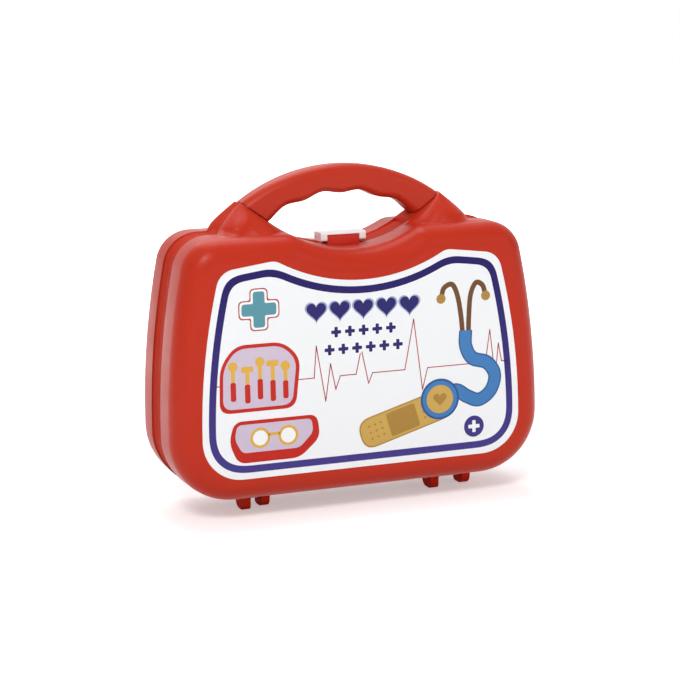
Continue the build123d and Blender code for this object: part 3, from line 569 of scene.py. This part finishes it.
lower_tile = [(-92, 43), (-48, 43), (-33, 56), (-35, 72), (-94, 72), (-98, 58)]
lower_ground = [(-89, 50), (-48, 50), (-38, 60), (-39, 69.5), (-92, 69.5), (-94, 60)]
bridge = rounded([(-70, 60.5), (-62, 60.5), (-62, 62.5), (-70, 62.5)], 0.8)
eyes = ((-76, 59.5), (-56, 59.5))
printed("label_tray_rim", [rounded(lower_tile, 6)], 2, kit_red)
printed("label_tray_ground", [rounded(lower_ground, 3.5)], 3, kit_lilac)
printed("label_glasses_rim", [disc(x, z, 7) for x, z in eyes] + [bridge], 4, kit_yellow)
printed("label_glasses_eyes", [disc(x, z, 5.2) for x, z in eyes], 5, print_white)

# A stethoscope with its two ear arms and a round chest piece, and a large sticking plaster.
ear_arms = [[(58, 146), (60, 152), (66, 154), (70, 146), (72.5, 132), (73.6, 120), (74, 111)],
            [(91, 146), (89, 152), (84, 154), (80, 146), (78.6, 132), (78.2, 120), (78, 111)]]
printed("label_ear_arms", stroke(ear_arms[0], 3.6) + stroke(ear_arms[1], 3.6), 2, brown)
printed("label_ear_tips", [disc(57.6, 144.5, 3.4), disc(91.4, 144.5, 3.4)], 3, honey_shade)
tube = [(76, 121), (76, 110), (81, 101), (92, 97), (98, 88), (95, 77), (86, 71), (77, 74), (69, 79), (62, 78)]
printed("label_tube_edge", stroke(tube, 10.0), 3, deep_blue)
printed("label_tube", stroke(tube, 8.0), 4, cloth_blue)
chest_x, chest_z = 56, 74
printed("label_chest_piece", [disc(chest_x, chest_z, 14.5)], 5, deep_blue)
printed("label_chest_ring", [disc(chest_x, chest_z, 13)], 6, cloth_blue)
printed("label_chest_face", [disc(chest_x, chest_z, 10)], 7, honey)
printed("label_chest_heart", [heart(chest_x, chest_z + 0.2, 10)], 8, honey_shade)


def turned(rim, x, z, degrees):
    """A rim turned about a point in millimetres."""
    c, s = cos(radians(degrees)), sin(radians(degrees))
    centre = np.array((x, z)) * mm
    return (rim - centre) @ np.array(((c, s), (-s, c))) + centre


plaster_lie = (30, 62.5, 16)   # the middle that the plaster turns about, and by how much
plaster_edge = rounded([(-4.9, 51.6), (64.9, 51.6), (64.9, 73.4), (-4.9, 73.4)], 10)
plaster_rim = rounded([(-4, 52.5), (64, 52.5), (64, 72.5), (-4, 72.5)], 9.5)
pad_rim = rounded([(17, 54), (39, 54), (39, 71), (17, 71)], 2)
holes = [disc(x, z, 0.8, 20) for x in (3, 7.5, 12, 44, 48.5, 53) for z in (58, 62.5, 67)]
printed("label_plaster_edge", [turned(plaster_edge, *plaster_lie)], 2, honey_shade)
printed("label_plaster", [turned(plaster_rim, *plaster_lie)], 3, honey)
printed("label_plaster_pad", [turned(pad_rim, *plaster_lie)], 4, honey_shade)
printed("label_plaster_holes", [turned(hole, *plaster_lie) for hole in holes], 4, honey_shade)

# A round badge with a plain cross.
badge_x, badge_z = 81.8, 52.1
printed("label_badge_rim", [disc(badge_x, badge_z, 8.8)], 4, print_white)
printed("label_badge", [disc(badge_x, badge_z, 7.6)], 5, frame_blue)
printed("label_badge_cross", [cross(badge_x, badge_z, 4.3, 1.3, 0.6)], 6, print_white)

# ---- The trays -------------------------------------------------------------------
# Thin lilac-grey sheet, formed over a mould. Its tint varies a little on slow noise, and it
# swells more than the stiffer case does.
tray_lilac, tray_lilac_pale = (0.50, 0.45, 0.57, 1), (0.60, 0.55, 0.67, 1)
tray_plastic = moulded_plastic("tray_lilac_plastic", tray_lilac, tray_lilac_pale, 0.18, 1.2)
finish_node(tray_plastic, "front_tray", "rear_tray")

# ---- The toy tools ---------------------------------------------------------------
# Small moulded pieces in red, amber and white plastic that lie in the wells of the trays,
# and a folded card box.
toy_red, toy_red_pale = (0.48, 0.020, 0.012, 1), (0.56, 0.032, 0.020, 1)
toy_red_plastic = moulded_plastic("toy_red_plastic", toy_red, toy_red_pale, 0.2, 0.5)
finish_node(toy_red_plastic, "probe_handle", "otoscope_handle", "hammer_handle", "syringe_barrel",
            "pill_jar_cap", "scissors_upper", "scissors_lower")
toy_yellow, toy_yellow_pale = (0.72, 0.42, 0.05, 1), (0.80, 0.50, 0.09, 1)
toy_yellow_plastic = moulded_plastic("toy_yellow_plastic", toy_yellow, toy_yellow_pale, 0.22, 0.5)
finish_node(toy_yellow_plastic, "probe_tip", "otoscope_funnel", "tweezers", "hammer_head",
            "syringe_plunger", "glasses_rim", "scissors_rivet")
toy_white, toy_white_pale = (0.80, 0.80, 0.78, 1), (0.87, 0.87, 0.85, 1)
toy_white_plastic = moulded_plastic("toy_white_plastic", toy_white, toy_white_pale, 0.24, 0.4)
finish_node(toy_white_plastic, "pill_jar")


card_white, card_white_pale = (0.82, 0.83, 0.85, 1), (0.88, 0.88, 0.89, 1)
stripe_teal = (0.11, 0.31, 0.37, 1)
stripe_share = 0.18                 # half of the stripe's height, as a share of the box's
stripe_fade = 0.0003


def box_card():
    """White card with a teal printed stripe round its middle and a faint unevenness."""
    material = moulded_plastic("box_card", card_white, card_white_pale, 0.55, 0.15)
    tree = material.node_tree
    place, parts = tree.nodes.new("ShaderNodeTexCoord"), tree.nodes.new("ShaderNodeSeparateXYZ")
    tree.links.new(place.outputs["Object"], parts.inputs[0])
    low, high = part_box("plaster_box")
    middle, half = (low[2] + high[2]) / 2, (high[2] - low[2]) * stripe_share
    away = combine(tree, "ABSOLUTE", combine(tree, "SUBTRACT", parts.outputs["Z"], middle), 0)
    stripe = spread(tree, away, half, half + stripe_fade, 1, 0)
    tree.links.new(tinted(tree, stripe, tree.nodes["skin"].outputs["Colour"], stripe_teal),
                   tree.nodes["Principled BSDF"].inputs["Base Color"])
    return material


finish_node(box_card(), "plaster_box")

# ---- Floor and light -------------------------------------------------------------
# A white paper sweep under soft boxes. The eye, gloss and clear plastic see it as white,
# and it keeps the case's soft shadow.
floor_mesh = bpy.data.meshes.new("floor")
reach = 4.0
lift_from, lift_to = 0.25, 0.8      # distances between which the sweep brightens
glow_near, glow_far = 0.40, 1.0     # how brightly it shows at the first and at the second
room_dim, room_bright = 0.36, 1.0   # and the room, in front of the case and behind it
floor_mesh.from_pydata([(-reach, -reach, 0), (reach, -reach, 0), (reach, reach, 0), (-reach, reach, 0)],
                       [], [(0, 1, 2, 3)])
floor = bpy.data.objects.new("floor", floor_mesh)
bpy.context.scene.collection.objects.link(floor)


def seen_directly(tree, path):
    """1 for rays from the eye, from gloss and through clear plastic, and 0 for the rest."""
    glossy, clear = path.outputs["Is Glossy Ray"], path.outputs["Is Transmission Ray"]
    return combine(tree, "MAXIMUM", path.outputs["Is Camera Ray"], combine(tree, "MAXIMUM", glossy, clear))


floor_paper = bpy.data.materials.new("floor_paper")
floor_paper.use_nodes = True
paper_tree = floor_paper.node_tree
paper = paper_tree.nodes["Principled BSDF"]
paper.inputs["Base Color"].default_value = (0.86, 0.86, 0.86, 1)
paper.inputs["Roughness"].default_value = 0.95
paper.inputs["Specular IOR Level"].default_value = 0.0
paper.inputs["Emission Color"].default_value = (1, 1, 1, 1)
# The sweep brightens away from the case, where the soft boxes no longer reach it.
spot = paper_tree.nodes.new("ShaderNodeTexCoord")
length = paper_tree.nodes.new("ShaderNodeVectorMath")
length.operation = "LENGTH"
paper_tree.links.new(spot.outputs["Object"], length.inputs[0])
lift = spread(paper_tree, length.outputs["Value"], lift_from, lift_to, glow_near, glow_far)
directly = seen_directly(paper_tree, paper_tree.nodes.new("ShaderNodeLightPath"))
paper_tree.links.new(combine(paper_tree, "MULTIPLY", directly, lift), paper.inputs["Emission Strength"])
floor_mesh.materials.append(floor_paper)

world = bpy.data.worlds.new("studio")
world.use_nodes = True
bpy.context.scene.world = world
sky_tree = world.node_tree
sky = sky_tree.nodes["Background"]
sky.inputs["Color"].default_value = (1, 1, 1, 1)
# The white sweep stands behind the case, and the room in front of it is dimmer.
room = sky_tree.nodes.new("ShaderNodeTexCoord")
room_parts = sky_tree.nodes.new("ShaderNodeSeparateXYZ")
sky_tree.links.new(room.outputs["Generated"], room_parts.inputs[0])
sweep = spread(sky_tree, room_parts.outputs["Y"], -0.1, 0.7, 0, 1)
sky_path = sky_tree.nodes.new("ShaderNodeLightPath")
behind = combine(sky_tree, "MULTIPLY", seen_directly(sky_tree, sky_path), sweep)
white_part = combine(sky_tree, "MAXIMUM", sky_path.outputs["Is Camera Ray"], behind)
sky_tree.links.new(spread(sky_tree, white_part, 0, 1, room_dim, room_bright), sky.inputs["Strength"])


lit_point = (0, 0, 0.1)


def lamp(name, place, size, watts):
    """A square soft box at a place, turned to the middle of the case."""
    light = bpy.data.lights.new(name, "AREA")
    light.shape = "SQUARE"
    light.size = size
    light.energy = watts
    box = bpy.data.objects.new(name, light)
    box.location = place
    box.rotation_euler = (Vector(lit_point) - Vector(place)).to_track_quat("-Z", "Y").to_euler()
    bpy.context.scene.collection.objects.link(box)


lamp("key_lamp", (-0.9, -1.6, 1.7), 0.65, 28.5)
lamp("fill_lamp", (1.6, -1.7, 0.9), 1.4, 7.5)
lamp("top_lamp", (0.1, 0.5, 2.0), 0.9, 11)
lamp("back_lamp", (0.0, 1.7, 1.9), 1.4, 14)

bpy.context.scene.view_settings.view_transform = "Standard"
